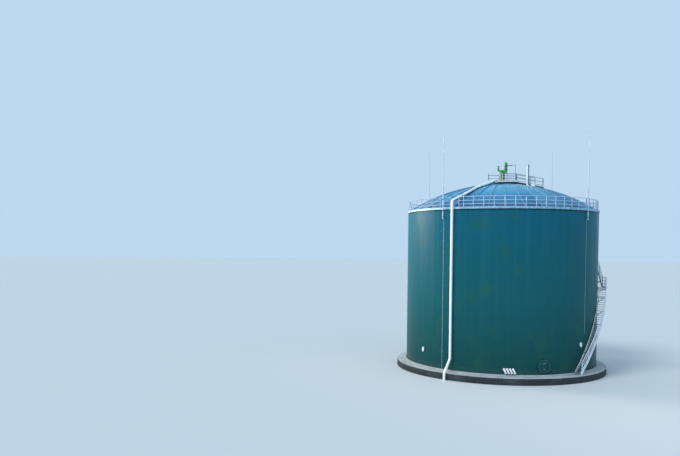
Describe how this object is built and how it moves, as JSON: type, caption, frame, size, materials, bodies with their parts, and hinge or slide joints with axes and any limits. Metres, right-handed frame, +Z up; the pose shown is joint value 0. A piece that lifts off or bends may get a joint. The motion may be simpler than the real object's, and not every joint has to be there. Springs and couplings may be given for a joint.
{
  "type": "biogas digester",
  "caption": "Round steel tank on a concrete slab with a ribbed dome roof, a relief valve on its crown, a gas pipe down its side and a stair that winds round the wall.",
  "frame": {"origin": "centre of the slab's underside, at ground level", "axes": "+Z up; -Y the side with the gas pipe and the fittings, +X the side where the stair's landing is"},
  "size_m": [22.04, 22.04, 24.56],
  "materials": {
    "concrete": "cast concrete, rough",
    "kerb_concrete": "cast concrete, smooth",
    "wall_cladding": "blue-green coated sheet, semi-gloss",
    "roof_sheet": "blue-grey coated sheet, semi-gloss",
    "galvanised_steel": "hot-dip galvanised, dull",
    "white_paint": "white paint, satin",
    "green_paint": "green paint, satin"
  },
  "bodies": {
    "root": {"foundation_slab": "concrete", "wall_kerb_and_floor": "kerb_concrete", "wall_segment_1": "wall_cladding", "wall_segment_2": "wall_cladding", "wall_segment_3": "wall_cladding", "wall_segment_4": "wall_cladding", "wall_segment_5": "wall_cladding", "wall_segment_6": "wall_cladding", "roof_sector_1": "roof_sheet", "roof_sector_2": "roof_sheet", "roof_sector_3": "roof_sheet", "roof_sector_4": "roof_sheet", "roof_sector_5": "roof_sheet", "roof_sector_6": "roof_sheet", "eave_ring_1": "galvanised_steel", "eave_ring_2": "galvanised_steel", "eave_ring_3": "galvanised_steel", "eave_ring_4": "galvanised_steel", "rim_railing_front": "galvanised_steel", "rim_railing_right": "galvanised_steel", "rim_railing_back": "galvanised_steel", "rim_railing_left": "galvanised_steel", "crown_cap": "galvanised_steel", "crown_deck": "galvanised_steel", "crown_railing_front": "galvanised_steel", "crown_railing_back": "galvanised_steel", "crown_walkway_railing_front": "galvanised_steel", "crown_walkway_railing_back": "galvanised_steel", "roof_walkway": "galvanised_steel", "roof_walkway_railing_left": "galvanised_steel", "roof_walkway_railing_right": "galvanised_steel", "relief_valve": "green_paint", "valve_sense_line": "galvanised_steel", "vent_pipe": "white_paint", "gas_pipe_roof": "white_paint", "gas_pipe_riser": "white_paint", "lightning_rod_front_left": "galvanised_steel", "lightning_rod_front_right": "galvanised_steel", "lightning_rod_back_right": "galvanised_steel", "lightning_rod_back_left": "galvanised_steel", "wall_port_left": "white_paint", "wall_port_right": "white_paint", "drain_nozzle_1": "white_paint", "drain_nozzle_2": "white_paint", "drain_nozzle_3": "white_paint", "drain_nozzle_4": "white_paint", "manhole": "wall_cladding", "stair_flight_1": "galvanised_steel", "stair_flight_2": "galvanised_steel", "stair_flight_3": "galvanised_steel", "stair_flight_4": "galvanised_steel", "stair_landing_middle": "galvanised_steel", "stair_landing_top": "galvanised_steel", "stair_railing_lower": "galvanised_steel", "stair_railing_middle": "galvanised_steel", "stair_railing_upper": "galvanised_steel", "stair_railing_top": "galvanised_steel"}
  },
  "joints": []
}
